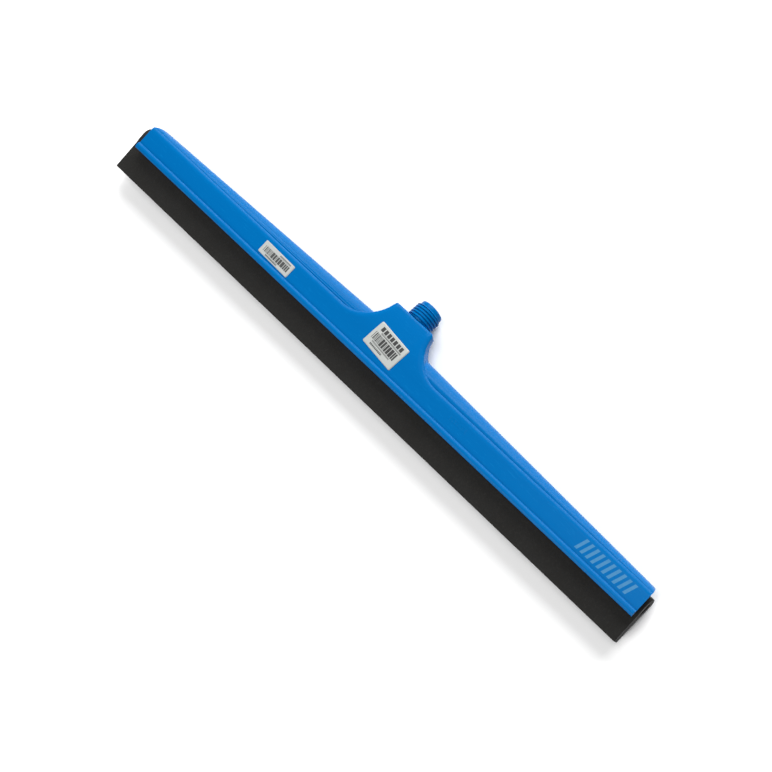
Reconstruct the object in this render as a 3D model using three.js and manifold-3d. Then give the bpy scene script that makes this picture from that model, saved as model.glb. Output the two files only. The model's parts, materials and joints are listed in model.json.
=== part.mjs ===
// Floor squeegee head, 55 cm: a moulded blade holder with a leaning neck and a threaded spigot for
// the handle. A folded cellular-rubber refill with two lips hangs in its channel, locked by a core
// strip. It lies on its back, on the rear bead and the rear of the spigot's thread.
// Millimetres. +X runs along the blade, +Y towards the handle, +Z up from the surface it lies on.
// Every piece is drawn in the head's own frame: y = 0 at the lip edge, z = 0 on the channel's
// middle plane, +z towards the front face. One group then lays the whole head on its back.
import * as THREE from "three";
import { mergeVertices } from "three/addons/utils/BufferGeometryUtils.js";
import Module from "manifold-3d";

// Blade holder
const HEAD_LENGTH = 542;
const MOUTH_Y = 21.5; // lower edge of the beads, where the rubber comes out
const RIDGE_Y = 43.6; // upper edge of the front and rear panels
const PANEL_Z = 12; // half the thickness across the panels
const SHOULDER_WIDTH = 4.5; // the panels round off over this much before the ridge
const SHOULDER_DROP = 1.5;
const BEAD_HEIGHT = 5.4;
const BEAD_PROUD = 1.9;
const SPINE_Z = 9.6; // half thickness of the spine, a small step in from the ridge
const CREST_MID_Y = 55.1; // the spine's crest rises like a low roof towards the neck
const CREST_END_Y = 46.6;
const CREST_ROUND = 5; // the crest rounds down over this much at each end
const END_SLOPE_DEG = 15; // the ends slope in towards the rear

// Neck: flat in front and rounded at the rear, like a D
const NECK_X = 1.2; // it stands a little right of the holder's middle
const NECK_HALF_WIDTH = 19.8;
const NECK_FILLET = 31; // concave sweep from the ridge into the neck's sides
const NECK_REAR_WIDTH = 11; // how much wider the rear corners are rounded on the neck
const NECK_REAR_DROP = 17.5; // and how much deeper
const NECK_FRONT_Y = 72.2; // height of the neck's front top edge
const NECK_EDGE = 2.4; // rounding along the neck's top edges
const LEAN_START_Y = 40; // above this the neck curves backwards
const LEAN_DEG = 16; // lean of the spigot, reached at the neck's top

// Thin shell with cross ribs, in which the channel for the refill is cut
const MOUTH_HALF_GAP = 6.1;
const CHAMBER_RADIUS = 6.8;
const CHAMBER_CENTRE_Y = 33.9;
const GRIP_TOOTH = 0.45; // how far the two gripping teeth stand into the channel
const NECK_ROOT = 30; // the shell is left solid this far each side of the middle
const RIB_PITCH = 25;
const RIB_THICKNESS = 2.4;
const PANEL_WALL = 2.4;
const SPINE_WALL = 3.2;

// Threaded spigot
const SPIGOT_BACK = 11.7; // its axis lies this far behind the neck's front face
const THREAD_RADIUS = 11.3;
const THREAD_ROOT = 10.3;
const THREAD_PITCH = 2.45;
const THREAD_LENGTH = 13;
const TIP_RADIUS = 9.9;
const SPIGOT_LENGTH = 16.4;
const SPIGOT_BORE = 6;
const SPIGOT_BORE_DEPTH = 13.5;
const SHANK_RADIUS = 8.4; // hexagonal shank, across its corners
const SHANK_LENGTH = 17.5;
const SOCKET_DEPTH = 18.5;

// Rubber refill and its core
const BLADE_LENGTH = 550;
const BLADE_SHIFT = -2.3; // the refill sits a little towards the left end
const LIP_TIP_Z = 4.8;
const LIP_ROOT_Z = 5.5;
const LIP_GAP = 0.9; // free space between the two lips
const FOLD_RADIUS = 6.4;
const CORE_RADIUS = 1.7;
const CORE_LENGTH = 546;

// Stickers
const STICKER = 0.15; // thickness of the printed paper
const GAP = 0.3; // clearance between touching pieces
const STICKER_GAP = 0.08;

const LEAN = THREE.MathUtils.degToRad(LEAN_DEG);

const wasm = await Module();
wasm.setup();

// A closed three.js geometry as a manifold solid.
function toSolid(geometry) {
  const bare = geometry.clone();
  bare.deleteAttribute("normal");
  bare.deleteAttribute("uv");
  const merged = mergeVertices(bare, 1e-4);
  const mesh = new wasm.Mesh({
    numProp: 3,
    vertProperties: Float32Array.from(merged.attributes.position.array),
    triVerts: Uint32Array.from(merged.index.array),
  });
  return new wasm.Manifold(mesh);
}

// A manifold solid as a three.js geometry.
function toGeometry(solid) {
  const mesh = solid.getMesh();
  const geometry = new THREE.BufferGeometry();
  geometry.setAttribute("position", new THREE.BufferAttribute(mesh.vertProperties, 3));
  geometry.setIndex(new THREE.BufferAttribute(mesh.triVerts, 1));
  geometry.computeVertexNormals();
  return geometry;
}

function geometryFrom(points, triangles) {
  const geometry = new THREE.BufferGeometry();
  geometry.setAttribute(
    "position",
    new THREE.Float32BufferAttribute(points.flatMap((p) => p.toArray()), 3),
  );
  geometry.setIndex(triangles);
  return geometry;
}

// Skin over a row of rings with equally many points, closed at both ends. flat turns a point into
// the pair of coordinates in which the end rings are flat outlines.
function loft(rings, flat) {
  const count = rings[0].length;
  const triangles = [];
  for (let r = 0; r + 1 < rings.length; r++) {
    for (let i = 0; i < count; i++) {
      const a = r * count + i;
      const b = r * count + ((i + 1) % count);
      triangles.push(a, b, b + count, a, b + count, a + count);
    }
  }
  const last = (rings.length - 1) * count;
  const capOf = (ring) => THREE.ShapeUtils.triangulateShape(ring.map(flat), []);
  for (const [a, b, c] of capOf(rings[0])) triangles.push(c, b, a);
  for (const [a, b, c] of capOf(rings[rings.length - 1])) {
    triangles.push(last + a, last + b, last + c);
  }
  return geometryFrom(rings.flat(), triangles);
}

const acrossX = (p) => new THREE.Vector2(p.y, p.z);

// A [y, z] outline, drawn anticlockwise, carried along X.
function prism(outline, x0, x1) {
  const ring = (x) => outline.map(([y, z]) => new THREE.Vector3(x, y, z));
  return loft([ring(x0), ring(x1)], acrossX);
}

// Points of an arc in the [y, z] plane, by angle from +y towards +z.
function arc(cy, cz, radiusY, radiusZ, from, to, steps) {
  return range(from, to, steps).map((degrees) => {
    const angle = THREE.MathUtils.degToRad(degrees);
    return [cy + radiusY * Math.cos(angle), cz + radiusZ * Math.sin(angle)];
  });
}

// How far the neck has curved back at height y.
function leanBack(y) {
  const above = Math.max(0, y - LEAN_START_Y);
  const bend = Math.tan(LEAN) / (2 * (NECK_FRONT_Y - LEAN_START_Y));
  return bend * above * above;
}

// The crest falls in a straight line from the middle, then rounds down at the ends.
function crestY(x) {
  const along = Math.abs(x) / (HEAD_LENGTH / 2);
  const straight = CREST_MID_Y + (CREST_END_Y - CREST_MID_Y) * along;
  const past = Math.max(0, Math.abs(x) - (HEAD_LENGTH / 2 - CREST_ROUND));
  return straight - (CREST_ROUND - Math.sqrt(CREST_ROUND ** 2 - past ** 2)) / 2;
}

const range = (from, to, steps) =>
  Array.from({ length: steps + 1 }, (_, i) => from + ((to - from) * i) / steps);

// ---- Blade holder -------------------------------------------------------------------------------

// Lines of the panel from the mouth up to its edge: where each starts at the mouth, its place on the
// panel's outline for any inset from the edge, and how much it belongs to the neck.
function panelColumns() {
  const filletX = NECK_HALF_WIDTH + NECK_FILLET;
  const straight = (x) => ({ mouthX: x, share: 0, edge: (inset) => [x, RIDGE_Y - inset] });
  const sweep = (side, degrees) => {
    const angle = THREE.MathUtils.degToRad(degrees);
    const across = THREE.MathUtils.lerp(filletX, NECK_HALF_WIDTH / 2, degrees / 90);
    const edge = (inset) => [
      NECK_X + side * (filletX - (NECK_FILLET + inset) * Math.sin(angle)),
      RIDGE_Y + NECK_FILLET - (NECK_FILLET + inset) * Math.cos(angle),
    ];
    return {
      mouthX: NECK_X + side * across,
      share: THREE.MathUtils.smoothstep(degrees, 0, 90),
      edge,
    };
  };
  const steps = range(0, 90, 15);
  const left = [straight(-HEAD_LENGTH / 2), ...steps.map((d) => sweep(-1, d))];
  const right = [...steps.map((d) => sweep(1, d)).reverse(), straight(HEAD_LENGTH / 2)];
  return [...left, ...right];
}

// One face of the panel from the mouth to the edge, rounded off over width and drop.
function panelFace({ mouthX, edge }, width, drop) {
  const [innerX, innerY] = edge(width);
  const flat = range(0, 0.9, 9).map((t) => [
    THREE.MathUtils.lerp(mouthX, innerX, t),
    THREE.MathUtils.lerp(MOUTH_Y, innerY, t),
    PANEL_Z,
  ]);
  const steepest = THREE.MathUtils.degToRad(78);
  const rounded = range(0, steepest, 8).map((angle) => {
    const inset = width * (1 - Math.sin(angle) / Math.sin(steepest));
    const fall = (drop * (1 - Math.cos(angle))) / (1 - Math.cos(steepest));
    return [...edge(Math.abs(inset)), PANEL_Z - fall];
  });
  return [...flat, ...rounded];
}

function panelRing(column) {
  const front = panelFace(column, SHOULDER_WIDTH, SHOULDER_DROP);
  const rearWidth = SHOULDER_WIDTH + column.share * NECK_REAR_WIDTH;
  const rearDrop = SHOULDER_DROP + column.share * NECK_REAR_DROP;
  const rear = panelFace(column, rearWidth, rearDrop).map(([x, y, z]) => [x, y, -z]);
  const outline = [...rear, ...front.reverse()];
  return outline.map(([x, y, z]) => new THREE.Vector3(x, y, z - leanBack(y)));
}

function spineRing(x) {
  const low = RIDGE_Y - 6;
  const crown = arc(RIDGE_Y, 0, crestY(x) - RIDGE_Y, SPINE_Z, -90, 90, 22);
  const outline = [[low, -SPINE_Z], ...crown, [low, SPINE_Z]];
  return outline.map(([y, z]) => new THREE.Vector3(x, y, z));
}

function beadOutline(side) {
  const middle = MOUTH_Y + BEAD_HEIGHT / 2;
  const roll = arc(middle, PANEL_Z, BEAD_HEIGHT / 2, BEAD_PROUD, 0, 180, 14);
  const outline = [...roll, [MOUTH_Y, PANEL_Z - 2], [MOUTH_Y + BEAD_HEIGHT, PANEL_Z - 2]];
  return side > 0 ? outline : outline.map(([y, z]) => [y, -z]).reverse();
}

function channelOutline() {
  const roof = arc(CHAMBER_CENTRE_Y, 0, CHAMBER_RADIUS, CHAMBER_RADIUS, -90, 90, 16);
  const below = MOUTH_Y - 2;
  const throatY = 24.4;
  const chamberY = 28.2;
  const tooth = MOUTH_HALF_GAP - GRIP_TOOTH;
  const wall = [
    [chamberY, CHAMBER_RADIUS],
    [throatY, MOUTH_HALF_GAP],
    [throatY - 0.6, tooth],
    [throatY - 1.6, MOUTH_HALF_GAP],
    [below, MOUTH_HALF_GAP],
  ];
  return [...roof, ...wall, ...wall.map(([y, z]) => [y, -z]).reverse()];
}

// Hollows between the cross ribs, from the mouth up into the spine. The last ones run out of the ends.
function hollows() {
  const made = [];
  const half = HEAD_LENGTH / 2;
  const low = MOUTH_Y - 2;
  const wide = PANEL_Z - PANEL_WALL;
  for (let x = NECK_ROOT; x < half; x += RIB_PITCH) {
    const open = x + RIB_PITCH > half;
    const end = open ? half + 1 : x + RIB_PITCH - RIB_THICKNESS;
    const roofY = crestY(Math.min(end, half - CREST_ROUND)) - SPINE_WALL;
    const narrow = THREE.MathUtils.mapLinear(roofY, CREST_END_Y, CREST_MID_Y, 5.2, 2.8);
    const rear = [
      [low, -wide],
      [RIDGE_Y - 3, -wide],
      [roofY, -narrow],
    ];
    const outline = [...rear, ...rear.map(([y, z]) => [y, -z]).reverse()];
    made.push(toSolid(prism(outline, x, end)), toSolid(prism(outline, -end, -x)));
  }
  return made;
}

// The space between the sloping ends.
function endTrim() {
  const half = HEAD_LENGTH / 2;
  const depth = 2 * RIDGE_Y;
  const rearHalf = half - depth * Math.tan(THREE.MathUtils.degToRad(END_SLOPE_DEG));
  const frontZ = PANEL_Z - SHOULDER_DROP;
  const right = [
    [rearHalf, frontZ - depth],
    [half, frontZ],
    [half, frontZ + depth],
  ];
  const corners = [...right, ...right.map(([x, z]) => [-x, z]).reverse()];
  const shape = new THREE.Shape(corners.map(([x, z]) => new THREE.Vector2(x, z)));
  const trim = new THREE.ExtrudeGeometry(shape, { depth: 2 * NECK_FRONT_Y, bevelEnabled: false });
  return trim.rotateX(Math.PI / 2).translate(0, 1.5 * NECK_FRONT_Y, 0);
}

// The spigot's own frame: its origin where the spigot's axis meets the neck's top face, +Y along
// the axis and +Z towards the front.
function spigotFrame() {
  const seat = new THREE.Vector3(
    NECK_X,
    NECK_FRONT_Y - SPIGOT_BACK * Math.sin(LEAN),
    PANEL_Z - leanBack(NECK_FRONT_Y) - SPIGOT_BACK * Math.cos(LEAN),
  );
  return new THREE.Matrix4().makeRotationX(-LEAN).setPosition(seat);
}

// In the spigot's frame: what to cut off so that a top edge at this distance is rounded.
function edgeRounding(distance, degrees) {
  const round = arc(-NECK_EDGE, distance - NECK_EDGE, NECK_EDGE, NECK_EDGE, 0, 90, 6);
  const outline = [...round, [-NECK_EDGE, distance + 4], [1, distance + 4], [1, round[0][1]]];
  return prism(outline.reverse(), -40, 40).rotateY(THREE.MathUtils.degToRad(degrees));
}

function headMoulding() {
  const panel = toSolid(loft(panelColumns().map(panelRing), acrossX));
  const ends = [-HEAD_LENGTH / 2, HEAD_LENGTH / 2];
  const rounding = [1, 0.95, 0.8, 0.55, 0].map((t) => ends[1] - CREST_ROUND * (1 - t));
  const spineX = [...rounding.map((x) => -x), 0, ...rounding.reverse()];
  const spine = toSolid(loft(spineX.map(spineRing), acrossX));
  const frontBead = toSolid(prism(beadOutline(1), ...ends));
  const rearBead = toSolid(prism(beadOutline(-1), ...ends));
  let head = panel.add(spine).add(frontBead).add(rearBead);

  const above = new THREE.BoxGeometry(80, 30, 80).translate(0, 15, 0);
  const socketHeight = SOCKET_DEPTH + 1;
  const socket = new THREE.CylinderGeometry(
    SHANK_RADIUS + GAP,
    SHANK_RADIUS + GAP,
    socketHeight,
    6,
  ).translate(0, 1 - socketHeight / 2, 0);
  const topEdges = [
    edgeRounding(SPIGOT_BACK, 0),
    edgeRounding(NECK_HALF_WIDTH, 90),
    edgeRounding(NECK_HALF_WIDTH, -90),
  ];
  for (const cut of [above, ...topEdges]) {
    head = head.subtract(toSolid(cut.applyMatrix4(spigotFrame())));
  }
  head = head.subtract(toSolid(socket.applyMatrix4(spigotFrame())));
  head = head.subtract(toSolid(prism(channelOutline(), ends[0] - 1, ends[1] + 1)));
  for (const hollow of hollows()) head = head.subtract(hollow);
  return toGeometry(head.intersect(toSolid(endTrim())));
}

// ---- Threaded spigot ----------------------------------------------------------------------------

// A right-hand thread along +Y as one helical skin: each turn's lower edge is the last turn's upper
// edge, and a fan closes each end.
function helix(turns) {
  const around = 48;
  const profile = [
    [0, THREAD_ROOT],
    [0.2, THREAD_ROOT],
    [0.38, THREAD_RADIUS],
    [0.82, THREAD_RADIUS],
  ];
  const rows = profile.length;
  const points = [];
  const place = (step, share, radius) => {
    const angle = (-2 * Math.PI * step) / around;
    const y = THREAD_PITCH * (step / around + share - 1.2);
    return new THREE.Vector3(radius * Math.cos(angle), y, radius * Math.sin(angle));
  };
  const steps = turns * around;
  for (let step = 0; step <= steps + around; step++) {
    for (const [share, radius] of profile) points.push(place(step, share, radius));
  }
  const index = (step, row) => (row < rows ? step * rows + row : (step + around) * rows);
  const triangles = [];
  for (let step = 0; step < steps; step++) {
    for (let row = 0; row < rows; row++) {
      const a = index(step, row);
      const b = index(step + 1, row);
      const c = index(step + 1, row + 1);
      const d = index(step, row + 1);
      triangles.push(a, c, d, a, b, c);
    }
  }
  const rim = (step) => {
    const turn = Array.from({ length: around + 1 }, (_, i) => index(step + i, 0));
    const face = Array.from({ length: rows - 1 }, (_, i) => index(step, rows - 1 - i));
    return [...turn, ...face];
  };
  for (const [step, flip] of [[0, false], [steps, true]]) {
    const loop = rim(step);
    const centre = points.push(new THREE.Vector3(0, points[index(step, 2)].y, 0)) - 1;
    loop.forEach((from, i) => {
      const to = loop[(i + 1) % loop.length];
      triangles.push(...(flip ? [centre, from, to] : [centre, to, from]));
    });
  }
  return geometryFrom(points, triangles);
}

function lathe(outline, segments) {
  return new THREE.LatheGeometry(outline.map(([r, y]) => new THREE.Vector2(r, y)), segments);
}

function handleSpigot() {
  const turns = Math.ceil(THREAD_LENGTH / THREAD_PITCH) + 2;
  const envelope = lathe(
    [
      [0, GAP],
      [THREAD_ROOT + 0.3, GAP],
      [THREAD_RADIUS, GAP + 0.9],
      [THREAD_RADIUS, THREAD_LENGTH - 1.3],
      [TIP_RADIUS, THREAD_LENGTH],
      [0, THREAD_LENGTH],
    ],
    48,
  );
  const stem = lathe(
    [
      [0, GAP],
      [THREAD_ROOT, GAP],
      [THREAD_ROOT, THREAD_LENGTH - 0.6],
      [TIP_RADIUS, THREAD_LENGTH],
      [TIP_RADIUS, SPIGOT_LENGTH - 1.2],
      [TIP_RADIUS - 0.35, SPIGOT_LENGTH - 0.35],
      [TIP_RADIUS - 1.2, SPIGOT_LENGTH],
      [0, SPIGOT_LENGTH],
    ],
    48,
  );
  const shankHeight = SHANK_LENGTH + 1;
  const shank = new THREE.CylinderGeometry(SHANK_RADIUS, SHANK_RADIUS - 0.4, shankHeight, 6);
  shank.translate(0, 1 - shankHeight / 2, 0);
  const bore = new THREE.CylinderGeometry(SPIGOT_BORE, SPIGOT_BORE - 0.3, SPIGOT_BORE_DEPTH + 1, 32);
  bore.translate(0, SPIGOT_LENGTH + 1 - (SPIGOT_BORE_DEPTH + 1) / 2, 0);
  const thread = toSolid(helix(turns)).intersect(toSolid(envelope));
  return toGeometry(thread.add(toSolid(stem)).add(toSolid(shank)).subtract(toSolid(bore)));
}

// ---- Rubber refill and core ---------------------------------------------------------------------

// One sheet folded over the core: outer skin up the front, over the fold and down the rear, then
// back round the inside.
function rubberBlade() {
  const kneeY = 24.6;
  const bulbY = 28.4;
  const slit = LIP_GAP / 2;
  const inner = CORE_RADIUS + GAP;
  const outerRear = [
    [0, -LIP_TIP_Z + 0.4],
    [0.4, -LIP_TIP_Z],
    [kneeY, -LIP_ROOT_Z],
    [bulbY, -FOLD_RADIUS],
  ];
  const outerFold = arc(CHAMBER_CENTRE_Y, 0, FOLD_RADIUS, FOLD_RADIUS, -90, 90, 14);
  const innerFold = arc(CHAMBER_CENTRE_Y, 0, inner, inner, 90, -90, 10);
  const innerRear = [
    [bulbY, -inner],
    [kneeY, -slit],
    [0, -slit],
  ];
  const mirror = (points) => points.map(([y, z]) => [y, -z]).reverse();
  const outline = [...outerRear, ...outerFold, ...mirror(outerRear)];
  outline.push(...mirror(innerRear), ...innerFold, ...innerRear);
  return prism(outline, BLADE_SHIFT - BLADE_LENGTH / 2, BLADE_SHIFT + BLADE_LENGTH / 2);
}

function coreStrip() {
  const top = arc(CHAMBER_CENTRE_Y, 0, CORE_RADIUS, CORE_RADIUS, -90, 90, 10);
  const outline = [[26, -0.8], [28.8, -CORE_RADIUS], ...top, [28.8, CORE_RADIUS], [26, 0.8]];
  return prism(outline, BLADE_SHIFT - CORE_LENGTH / 2, BLADE_SHIFT + CORE_LENGTH / 2);
}

// ---- Stickers -----------------------------------------------------------------------------------

// Printed paper laid on the front panel, bent with it where the neck starts to lean.
function sticker(centreX, centreY, width, height, degrees) {
  const turn = THREE.MathUtils.degToRad(degrees);
  const rows = 8;
  const ring = (row) => {
    const up = height * (row / rows - 0.5);
    const point = (side, lift) => {
      const across = side * (width / 2);
      const x = centreX + across * Math.cos(turn) - up * Math.sin(turn);
      const y = centreY + across * Math.sin(turn) + up * Math.cos(turn);
      return new THREE.Vector3(x, y, PANEL_Z - leanBack(y) + lift);
    };
    const top = STICKER_GAP + STICKER;
    return [point(-1, STICKER_GAP), point(-1, top), point(1, top), point(1, STICKER_GAP)];
  };
  const rings = Array.from({ length: rows + 1 }, (_, row) => ring(row));
  return loft(rings, (p) => new THREE.Vector2(p.z, p.x));
}

// ---- Assembly -----------------------------------------------------------------------------------

const plastic = (color) => new THREE.MeshStandardMaterial({ color, roughness: 0.35, metalness: 0 });
const blue = plastic(0x0272bb);
const grey = plastic(0x8b8f91);
const rubber = new THREE.MeshStandardMaterial({ color: 0x282725, roughness: 0.9, metalness: 0 });
const paper = new THREE.MeshStandardMaterial({ color: 0xd2d7d3, roughness: 0.7, metalness: 0 });

function piece(name, geometry, material) {
  const mesh = new THREE.Mesh(geometry, material);
  mesh.name = name;
  return mesh;
}

// Slope of the head when its rear bead and the rear of the thread touch the floor together.
function restTilt(moulding, thread) {
  const lowest = (geometry, tilt) => {
    const { array } = geometry.attributes.position;
    let low = Infinity;
    for (let i = 0; i < array.length; i += 3) {
      low = Math.min(low, array[i + 1] * Math.sin(tilt) + array[i + 2] * Math.cos(tilt));
    }
    return low;
  };
  let flat = 0;
  let steep = 0.3;
  for (let halving = 0; halving < 30; halving++) {
    const tilt = (flat + steep) / 2;
    if (lowest(thread, tilt) < lowest(moulding, tilt)) flat = tilt;
    else steep = tilt;
  }
  return flat;
}

const moulding = headMoulding();
const spigot = handleSpigot().applyMatrix4(spigotFrame());
const head = new THREE.Group();
head.add(piece("head_moulding", moulding, blue));
head.add(piece("handle_spigot", spigot, blue));
head.add(piece("rubber_blade", rubberBlade(), rubber));
head.add(piece("core_strip", coreStrip(), grey));
head.add(piece("product_label", sticker(0.5, 42.2, 32.2, 21, -6), paper));
head.add(piece("stock_label", sticker(-113.8, 33.6, 33, 10.8, -1.5), paper));
head.rotation.x = restTilt(moulding, spigot);

const squeegee = new THREE.Group();
squeegee.add(head);
const box = new THREE.Box3().setFromObject(squeegee, true);
const middle = box.getCenter(new THREE.Vector3());
head.position.set(-middle.x, -middle.y, -box.min.z);

export default squeegee;
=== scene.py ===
"""Looks for the floor squeegee head: its materials and stickers, then floor, light and camera.

Places are given in the head's own frame, as in the CAD source: x along the blade, y = 0 at the lip
edge, z = 0 on the channel's middle plane, in millimetres. HEAD carries them into the row frame.
"""

import json
import math

import bmesh
import bpy
from mathutils import Matrix, Vector


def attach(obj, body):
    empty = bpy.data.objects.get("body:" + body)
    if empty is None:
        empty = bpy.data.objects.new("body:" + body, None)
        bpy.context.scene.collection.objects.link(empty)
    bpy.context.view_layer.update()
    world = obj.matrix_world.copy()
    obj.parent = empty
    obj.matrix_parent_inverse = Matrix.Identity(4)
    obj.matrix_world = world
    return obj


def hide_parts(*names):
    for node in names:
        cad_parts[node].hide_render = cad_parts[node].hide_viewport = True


MM = 0.001

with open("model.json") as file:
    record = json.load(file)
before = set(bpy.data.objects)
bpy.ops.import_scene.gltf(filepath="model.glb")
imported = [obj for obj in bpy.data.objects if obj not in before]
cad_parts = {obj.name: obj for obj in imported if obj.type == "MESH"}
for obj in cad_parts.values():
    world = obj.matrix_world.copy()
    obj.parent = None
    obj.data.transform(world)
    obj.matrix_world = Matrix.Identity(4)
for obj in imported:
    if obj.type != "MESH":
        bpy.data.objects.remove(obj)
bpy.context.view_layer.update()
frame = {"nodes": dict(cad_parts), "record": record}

# ---- The head's own frame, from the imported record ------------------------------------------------

REAR_PAD = Vector((100, 33, -12)) * MM  # where the rear_panel mount lies in the head's frame
rear = next(m for m in frame["record"]["mounts"] if m["name"] == "rear_panel")
tilt = math.atan2(rear["axis"][1], -rear["axis"][2])
turn = Matrix.Rotation(tilt, 4, "X")
HEAD = Matrix.Translation(Vector(rear["pos_m"]) - turn @ REAR_PAD) @ turn

# The front panel and the bend into the neck, in millimetres, as in the CAD source.
PANEL_Z = 12
LEAN_START_Y = 40
NECK_FRONT_Y = 72.2
LEAN = math.radians(16)


def lean_back(y):
    """How far the front surface lies below PANEL_Z at height y."""
    above = max(0, y - LEAN_START_Y)
    return math.tan(LEAN) / (2 * (NECK_FRONT_Y - LEAN_START_Y)) * above * above


# ---- Shader helpers ------------------------------------------------------------------------------


class Shader:
    """A node tree with a Principled shader and short ways to wire it."""

    def __init__(self, name, roughness, ior=1.5):
        self.material = bpy.data.materials.new(name)
        self.material.use_nodes = True
        self.tree = self.material.node_tree
        self.principled = self.tree.nodes["Principled BSDF"]
        self.set("Roughness", roughness)
        self.set("IOR", ior)

    def set(self, socket, value):
        if isinstance(value, bpy.types.NodeSocket):
            self.tree.links.new(value, self.principled.inputs[socket])
        else:
            self.principled.inputs[socket].default_value = value

    def node(self, kind, inputs=(), **settings):
        made = self.tree.nodes.new(kind)
        for key, value in settings.items():
            setattr(made, key, value)
        for key, value in dict(inputs).items():
            if isinstance(value, bpy.types.NodeSocket):
                self.tree.links.new(value, made.inputs[key])
            else:
                made.inputs[key].default_value = value
        return made

    def coords(self):
        """The point in the head's frame, in metres."""
        back = HEAD.inverted()
        inputs = {
            "Vector": self.node("ShaderNodeTexCoord").outputs["Object"],
            "Location": back.translation,
            "Rotation": back.to_euler(),
        }
        return self.node("ShaderNodeMapping", inputs).outputs[0]

    def millimetres(self, vector):
        """Its x, y and z, each in millimetres."""
        axes = self.node("ShaderNodeSeparateXYZ", {0: vector}).outputs
        return [self.math("MULTIPLY", axis, 1000) for axis in axes]

    def math(self, operation, a, b=0.0):
        return self.node("ShaderNodeMath", {0: a, 1: b}, operation=operation).outputs[0]

    def noise(self, vector, scale, detail, rough=0.5):
        inputs = {"Vector": vector, "Scale": scale, "Detail": detail, "Roughness": rough}
        return self.node("ShaderNodeTexNoise", inputs).outputs["Fac"]

    def stretch(self, vector, scale):
        return self.node("ShaderNodeMapping", {"Vector": vector, "Scale": scale}).outputs[0]

    def span(self, value, low, high, to_low=0.0, to_high=1.0):
        inputs = {"Value": value, 1: low, 2: high, 3: to_low, 4: to_high}
        return self.node("ShaderNodeMapRange", inputs).outputs[0]

    def mix(self, factor, a, b):
        made = self.node("ShaderNodeMix", {"Factor": factor}, data_type="RGBA")
        for socket, value in (("A", a), ("B", b)):
            slot = next(s for s in made.inputs if s.name == socket and s.type == "RGBA")
            if isinstance(value, bpy.types.NodeSocket):
                self.tree.links.new(value, slot)
            else:
                slot.default_value = (*value, 1)
        return next(s for s in made.outputs if s.type == "RGBA")

    def bump(self, height, distance, strength):
        inputs = {"Height": height, "Distance": distance, "Strength": strength}
        return self.node("ShaderNodeBump", inputs).outputs[0]


def linear(r, g, b):
    """8-bit display colour as linear light."""

    def one(v):
        v /= 255
        return v / 12.92 if v <= 0.04045 else ((v + 0.055) / 1.055) ** 2.4

    return tuple(one(v) for v in (r, g, b))


def band(s, value, low, high, soft=0.15):
    """1 where value lies between low and high, with edges that fade over soft."""
    rise = s.span(value, low - soft, low + soft)
    fall = s.span(value, high - soft, high + soft, 1.0, 0.0)
    return s.math("MULTIPLY", rise, fall)


# ---- Materials -----------------------------------------------------------------------------------


def moulded_blue(name, printed=False):
    """Polypropylene: flow lines along the blade, a fine moulded grain and faint handling scuffs."""
    s = Shader(name, 0.34)
    s.set("Specular IOR Level", 0.05)
    place = s.coords()
    flow = s.noise(s.stretch(place, (3, 40, 40)), scale=1.6, detail=3)
    colour = s.mix(flow, linear(0, 91, 154), linear(0, 99, 163))
    scuffs = s.noise(s.stretch(place, (14, 90, 90)), scale=9, detail=6, rough=0.7)
    worn = s.span(scuffs, 0.56, 0.72)
    colour = s.mix(s.math("MULTIPLY", worn, 0.12), colour, linear(0, 142, 206))
    grain = s.noise(place, scale=2600, detail=2)
    waves = s.noise(s.stretch(place, (4, 30, 30)), scale=2, detail=2)
    height = s.math("ADD", s.math("MULTIPLY", grain, 0.12), waves)
    if printed:
        colour = s.mix(pad_print(s, place), colour, linear(70, 126, 168))
        height = s.math("ADD", height, raised_mark(s, place))
    s.set("Base Color", colour)
    uneven = s.math("ADD", s.math("MULTIPLY", flow, 0.5), worn)
    s.set("Roughness", s.span(uneven, 0, 1.5, 0.22, 0.36))
    s.set("Normal", s.bump(height, distance=0.12 * MM, strength=0.5))
    return s.material


# The marks on the front panel, in millimetres. FRONT is the height over which they fade in.
FRONT = (6, 8)
PRINT_LOW, PRINT_MIDDLE, PRINT_HIGH = 29.5, 34.6, 39.7
PRINT_SLANT = 0.35
PRINT_LEFT, PRINT_PITCH = 209.5, 5.2
STRIPES, STRIPE_WIDTH = 10, 2.6
CODE_LEFT, CODE_RIGHT = 74.5, 91.8
CODE_LOW, CODE_HIGH = 34.4, 37.8
CODE_RIM = 0.8


def pad_print(s, place):
    """A plain row of equal slanted stripes of ink near the right end of the front panel."""
    x, y, z = s.millimetres(place)
    up = s.math("SUBTRACT", y, PRINT_MIDDLE)
    slanted = s.math("SUBTRACT", x, s.math("MULTIPLY", up, PRINT_SLANT))
    stripes = 0.0
    for i in range(STRIPES):
        low = PRINT_LEFT + i * PRINT_PITCH
        stripes = s.math("MAXIMUM", stripes, band(s, slanted, low, low + STRIPE_WIDTH))
    stripes = s.math("MULTIPLY", stripes, band(s, y, PRINT_LOW, PRINT_HIGH))
    ink = s.math("MULTIPLY", stripes, s.span(z, *FRONT))
    patchy = s.span(s.noise(place, scale=420, detail=4), 0.3, 0.6, 0.78, 1.0)
    return s.math("MULTIPLY", ink, patchy)


def raised_mark(s, place):
    """A faint raised oblong right of the neck, as moulders leave for a material code."""
    x, y, z = s.millimetres(place)

    def oblong(inset):
        wide = band(s, x, CODE_LEFT + inset, CODE_RIGHT - inset)
        return s.math("MULTIPLY", wide, band(s, y, CODE_LOW + inset, CODE_HIGH - inset))

    inner = oblong(CODE_RIM)
    wave = s.math("SINE", s.math("MULTIPLY", x, 2.6))
    dashes = s.math("MULTIPLY", inner, s.span(wave, -0.2, 0.4))
    rim = s.math("SUBTRACT", oblong(0), inner)
    return s.math("MULTIPLY", s.math("ADD", rim, dashes), s.span(z, *FRONT))


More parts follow.
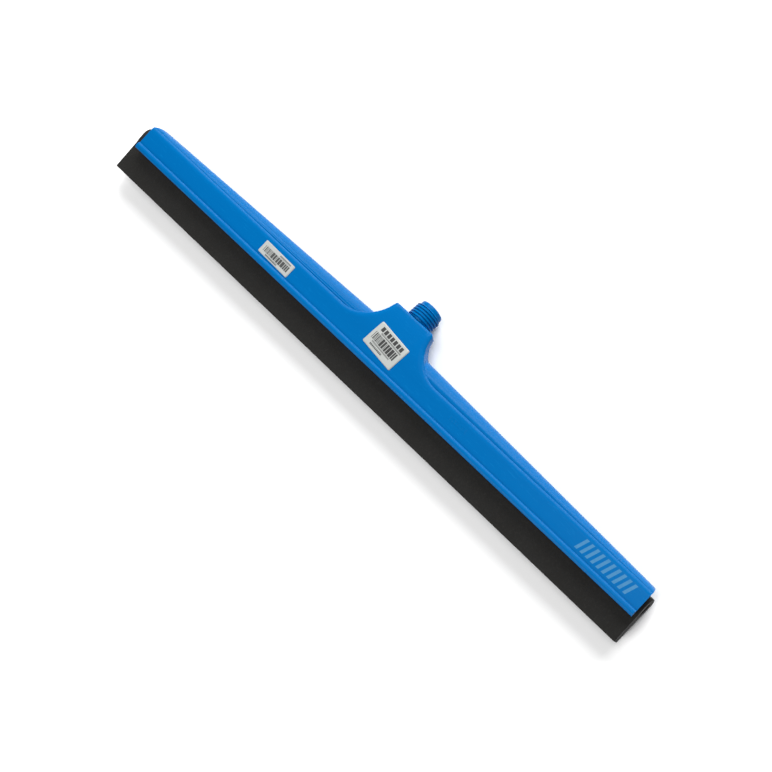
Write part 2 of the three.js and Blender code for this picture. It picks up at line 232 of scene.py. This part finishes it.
def cellular_rubber(name):
    """Closed-cell rubber: a matt skin full of fine pores, with their bottoms painted darker as shade,
    and dusty grey high spots.
    """
    s = Shader(name, 0.9, 1.45)
    place = s.coords()
    pores = s.node("ShaderNodeTexVoronoi", {"Vector": place, "Scale": 900}, feature="F1").outputs[0]
    skin_height_and_pore_shade = s.span(pores, 0.1, 0.55)
    mottle = s.noise(place, scale=55, detail=5)
    dust = s.span(s.noise(place, scale=700, detail=4, rough=0.7), 0.52, 0.8)
    colour = s.mix(mottle, linear(17, 17, 16), linear(27, 26, 24))
    # Painted shade: the pores stay darker than the skin between them, as if shaded in their hollows.
    # The same mask raises the skin in the bump.
    colour = s.mix(s.math("MULTIPLY", skin_height_and_pore_shade, 0.35), colour, linear(32, 31, 29))
    colour = s.mix(s.math("MULTIPLY", dust, 0.3), colour, linear(60, 59, 55))
    s.set("Base Color", colour)
    s.set("Roughness", s.span(mottle, 0.3, 0.7, 0.82, 0.95))
    s.set("Specular IOR Level", 0.3)
    s.set("Sheen Weight", 0.08)
    s.set("Sheen Roughness", 0.5)
    height = s.math("ADD", skin_height_and_pore_shade, s.noise(place, scale=300, detail=3))
    s.set("Normal", s.bump(height, distance=0.25 * MM, strength=0.6))
    return s.material


def extruded_grey(name):
    """The core's plastic, with draw lines along its length."""
    s = Shader(name, 0.5)
    place = s.coords()
    lines = s.noise(s.stretch(place, (2, 300, 300)), scale=4, detail=3)
    s.set("Base Color", s.mix(lines, linear(118, 122, 125), linear(146, 149, 151)))
    s.set("Roughness", s.span(lines, 0.2, 0.8, 0.42, 0.6))
    s.set("Normal", s.bump(lines, distance=0.1 * MM, strength=0.5))
    return s.material


LINE_WIDTH = 0.45  # the narrowest bar on a sticker, in millimetres
BAR_SHARE = 0.58  # how much of a row of bars is ink
BLOCK_SHARE = 0.78  # how much of a row of blocks is ink


def upright_bars(s, across, low, high):
    """Upright bars of uneven width that encode nothing."""
    lines = round((high - low) / LINE_WIDTH)
    step = s.math("FLOOR", s.span(across, low, high, 0, lines))
    chance = s.node("ShaderNodeTexWhiteNoise", {"W": step}, noise_dimensions="1D").outputs["Value"]
    inked = s.math("LESS_THAN", chance, BAR_SHARE)
    return s.math("MULTIPLY", inked, band(s, across, low, high, 0.02))


def even_blocks(s, across, low, high, pitch):
    """Blocks of one width in place of a line of words."""
    wave = s.math("FRACT", s.math("DIVIDE", s.math("SUBTRACT", across, low), pitch))
    inked = s.math("LESS_THAN", wave, BLOCK_SHARE)
    return s.math("MULTIPLY", inked, band(s, across, low, high, 0.02))


def printed_paper(name, rows):
    """Sticker paper. A row is (left, right, low, high, kind, darkness), in mm from the centre."""
    s = Shader(name, 0.55)
    x, y, _ = s.millimetres(s.node("ShaderNodeTexCoord").outputs["UV"])
    ink = 0.0
    for left, right, low, high, kind, darkness in rows:
        if kind == "bars":
            mark = upright_bars(s, x, left, right)
        else:
            mark = even_blocks(s, x, left, right, (high - low) * 0.95)
        mark = s.math("MULTIPLY", mark, band(s, y, low, high, 0.06))
        ink = s.math("MAXIMUM", ink, s.math("MULTIPLY", mark, darkness))
    fibre = s.noise(s.coords(), scale=1500, detail=4)
    paper = s.mix(fibre, linear(160, 163, 161), linear(178, 181, 178))
    s.set("Base Color", s.mix(ink, paper, linear(22, 22, 24)))
    s.set("Roughness", s.span(fibre, 0.3, 0.7, 0.48, 0.62))
    s.set("Normal", s.bump(fibre, distance=0.04 * MM, strength=0.5))
    return s.material


# ---- Pieces --------------------------------------------------------------------------------------

WELD = 0.002 * MM  # facets' corners closer than this are one point

# A sticker is a thin sheet of rings, fine enough to follow the neck's bend. Millimetres.
STICKER_RINGS = 12
STICKER_FOOT = 0.02  # height of its edge's foot above the panel
STICKER_FACE = 0.2  # height of its printed face above the panel
CORNER_STEPS = 6
SIDE_STEP = 1.5


def add_object(name, mesh, material, body, replaced):
    mesh.materials.clear()
    mesh.materials.append(material)
    made = bpy.data.objects.new(name, mesh)
    bpy.context.scene.collection.objects.link(made)
    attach(made, body)
    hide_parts(replaced)
    return made


def refined(node, name, material, body, bevel=0.0, crease=32):
    """A CAD node's surface, smooth up to crease degrees, its edges rounded off by bevel."""
    mesh = frame["nodes"][node].data.copy()
    shape = bmesh.new()
    shape.from_mesh(mesh)
    bmesh.ops.remove_doubles(shape, verts=shape.verts, dist=WELD)
    bmesh.ops.recalc_face_normals(shape, faces=shape.faces)
    for face in shape.faces:
        face.smooth = True
    for edge in shape.edges:
        edge.smooth = edge.calc_face_angle(math.pi) < math.radians(crease)
    shape.to_mesh(mesh)
    shape.free()
    made = add_object(name, mesh, material, body, node)
    if bevel:
        rounding = made.modifiers.new("edges", "BEVEL")
        rounding.width = bevel
        rounding.segments = 2
        rounding.limit_method = "ANGLE"
        rounding.angle_limit = math.radians(crease)
        rounding.harden_normals = True
        rounding.use_clamp_overlap = True


def rounded_outline(width, height, radius):
    """Points round an oblong with round corners, its sides cut into steps of about SIDE_STEP."""
    corners = []
    for corner, start in enumerate((0, 90, 180, 270)):
        cx = (width / 2 - radius) * (1 if corner in (0, 3) else -1)
        cy = (height / 2 - radius) * (1 if corner in (0, 1) else -1)
        for i in range(CORNER_STEPS + 1):
            angle = math.radians(start + 90 * i / CORNER_STEPS)
            corners.append(Vector((cx + radius * math.cos(angle), cy + radius * math.sin(angle))))
    points = []
    for here, after in zip(corners, corners[1:] + corners[:1]):
        parts = max(1, round((after - here).length / SIDE_STEP))
        points += [here.lerp(after, i / parts) for i in range(parts)]
    return points


def sticker(name, node, centre, size, degrees, radius, material):
    """A paper sticker with rounded corners that follows the panel into the neck's bend."""
    width, height = size
    cos, sin = math.cos(math.radians(degrees)), math.sin(math.radians(degrees))
    shape = bmesh.new()
    uv = shape.loops.layers.uv.new("label")
    flat = {}

    def vertex(x, y, lift):
        across = centre[0] + x * cos - y * sin
        up = centre[1] + x * sin + y * cos
        place = Vector((across, up, PANEL_Z - lean_back(up) + lift)) * MM
        made = shape.verts.new(HEAD @ place)
        flat[made] = (x * MM, y * MM)
        return made

    outline = rounded_outline(width, height, radius)
    shares = [i / STICKER_RINGS for i in range(STICKER_RINGS, 0, -1)]
    foot = [vertex(x, y, STICKER_FOOT) for x, y in outline]
    rings = [foot] + [[vertex(x * k, y * k, STICKER_FACE) for x, y in outline] for k in shares]
    count = len(outline)
    for low, high in zip(rings, rings[1:]):
        for i in range(count):
            shape.faces.new((low[i], low[(i + 1) % count], high[(i + 1) % count], high[i]))
    middle = vertex(0, 0, STICKER_FACE)
    for i in range(count):
        shape.faces.new((rings[-1][i], rings[-1][(i + 1) % count], middle))
    for face in shape.faces:
        face.smooth = True
        for loop in face.loops:
            loop[uv].uv = flat[loop.vert]
    mesh = bpy.data.meshes.new(name)
    shape.to_mesh(mesh)
    shape.free()
    add_object(name, mesh, material, "head", node)


blue = moulded_blue("moulded_blue", printed=True)
spigot_blue = moulded_blue("spigot_blue")
rubber = cellular_rubber("cellular_rubber")
grey = extruded_grey("extruded_grey")

refined("head_moulding", "holder", blue, "head")
refined("handle_spigot", "spigot", spigot_blue, "head", crease=28)
refined("rubber_blade", "blade", rubber, "refill", bevel=0.6 * MM)
refined("core_strip", "core", grey, "core", bevel=0.3 * MM)

LABEL_ROWS = [
    (-12.2, 12.2, 4.6, 8.4, "blocks", 0.95),
    (-9.5, 13.4, 2.9, 4.1, "blocks", 0.75),
    (-14.0, 12.6, -4.2, 2.2, "bars", 0.95),
    (-10.5, 9.5, -5.9, -4.7, "blocks", 0.7),
    (-10.5, 3.0, -8.2, -6.8, "blocks", 0.9),
]
STOCK_ROWS = [
    (-14.2, 13.6, -2.6, 2.2, "bars", 0.9),
    (1.0, 13.0, 2.9, 4.2, "blocks", 0.75),
    (-9.5, 3.5, -4.5, -3.2, "blocks", 0.85),
]
product_paper = printed_paper("product_paper", LABEL_ROWS)
stock_paper = printed_paper("stock_paper", STOCK_ROWS)
sticker(
    "neck_sticker",
    "product_label",
    centre=(0.5, 42.2),
    size=(32.2, 21),
    degrees=-6,
    radius=1.1,
    material=product_paper,
)
sticker(
    "panel_sticker",
    "stock_label",
    centre=(-113.8, 33.6),
    size=(33, 10.8),
    degrees=-1.5,
    radius=0.9,
    material=stock_paper,
)

# ---- Floor, light and camera ---------------------------------------------------------------------

FLOOR_HALF_WIDTH = 6  # metres
LAMP_DISTANCE = 4  # metres


def plain_floor():
    s = Shader("pale_floor", 0.75)
    mottle = s.noise(s.coords(), scale=6, detail=4)
    s.set("Base Color", s.mix(mottle, (0.94, 0.94, 0.94), (0.97, 0.97, 0.97)))
    mesh = bpy.data.meshes.new("floor")
    shape = bmesh.new()
    bmesh.ops.create_grid(shape, x_segments=2, y_segments=2, size=FLOOR_HALF_WIDTH)
    shape.to_mesh(mesh)
    shape.free()
    mesh.materials.append(s.material)
    floor = bpy.data.objects.new("floor", mesh)
    bpy.context.scene.collection.objects.link(floor)


def soft_lamp(name, direction, size, watts):
    """A round lamp, size metres across, that shines on the origin from direction."""
    lamp = bpy.data.lights.new(name, "AREA")
    lamp.shape = "DISK"
    lamp.size = size
    lamp.energy = watts
    made = bpy.data.objects.new(name, lamp)
    toward = Vector(direction).normalized()
    made.location = toward * LAMP_DISTANCE
    made.rotation_mode = "QUATERNION"
    made.rotation_quaternion = toward.to_track_quat("Z", "Y")
    bpy.context.scene.collection.objects.link(made)


def studio_world(strength):
    world = bpy.data.worlds.new("studio")
    world.use_nodes = True
    background = world.node_tree.nodes["Background"]
    background.inputs["Color"].default_value = (1, 1, 1, 1)
    background.inputs["Strength"].default_value = strength
    bpy.context.scene.world = world


def photo_camera(aim, distance, bearing, elevation, roll, lens):
    """Looks at aim, in the head's frame, from bearing degrees off +x and elevation degrees up."""
    around, height = math.radians(bearing), math.radians(elevation)
    flat = Vector((math.cos(around), math.sin(around), 0))
    back = flat * math.cos(height) + Vector((0, 0, math.sin(height)))
    level = Vector((0, 0, 1)).cross(back).normalized()
    right = Matrix.Rotation(math.radians(roll), 3, back) @ level
    up = back.cross(right)
    pose = Matrix((right, up, back)).transposed().to_4x4()
    pose.translation = (Vector(aim) + back * distance) * MM
    camera = bpy.data.cameras.new("camera")
    camera.lens = lens
    camera.sensor_width = 36
    made = bpy.data.objects.new("camera", camera)
    made.matrix_world = HEAD @ pose
    bpy.context.scene.collection.objects.link(made)
    bpy.context.scene.camera = made


plain_floor()
studio_world(0.15)
soft_lamp("handle_side", (-0.25, 0.9, 0.46), size=4.4, watts=330)
soft_lamp("rubber_side", (-0.1, -0.8, 0.56), size=3.0, watts=125)
soft_lamp("top", (0.05, 0.05, 1), size=2.0, watts=44)
photo_camera(
    aim=(17.4, 19.9, 0),
    distance=1448.7,
    bearing=8.03,
    elevation=68.8,
    roll=-55.17,
    lens=90.9,
)
bpy.context.scene.view_settings.view_transform = "Standard"
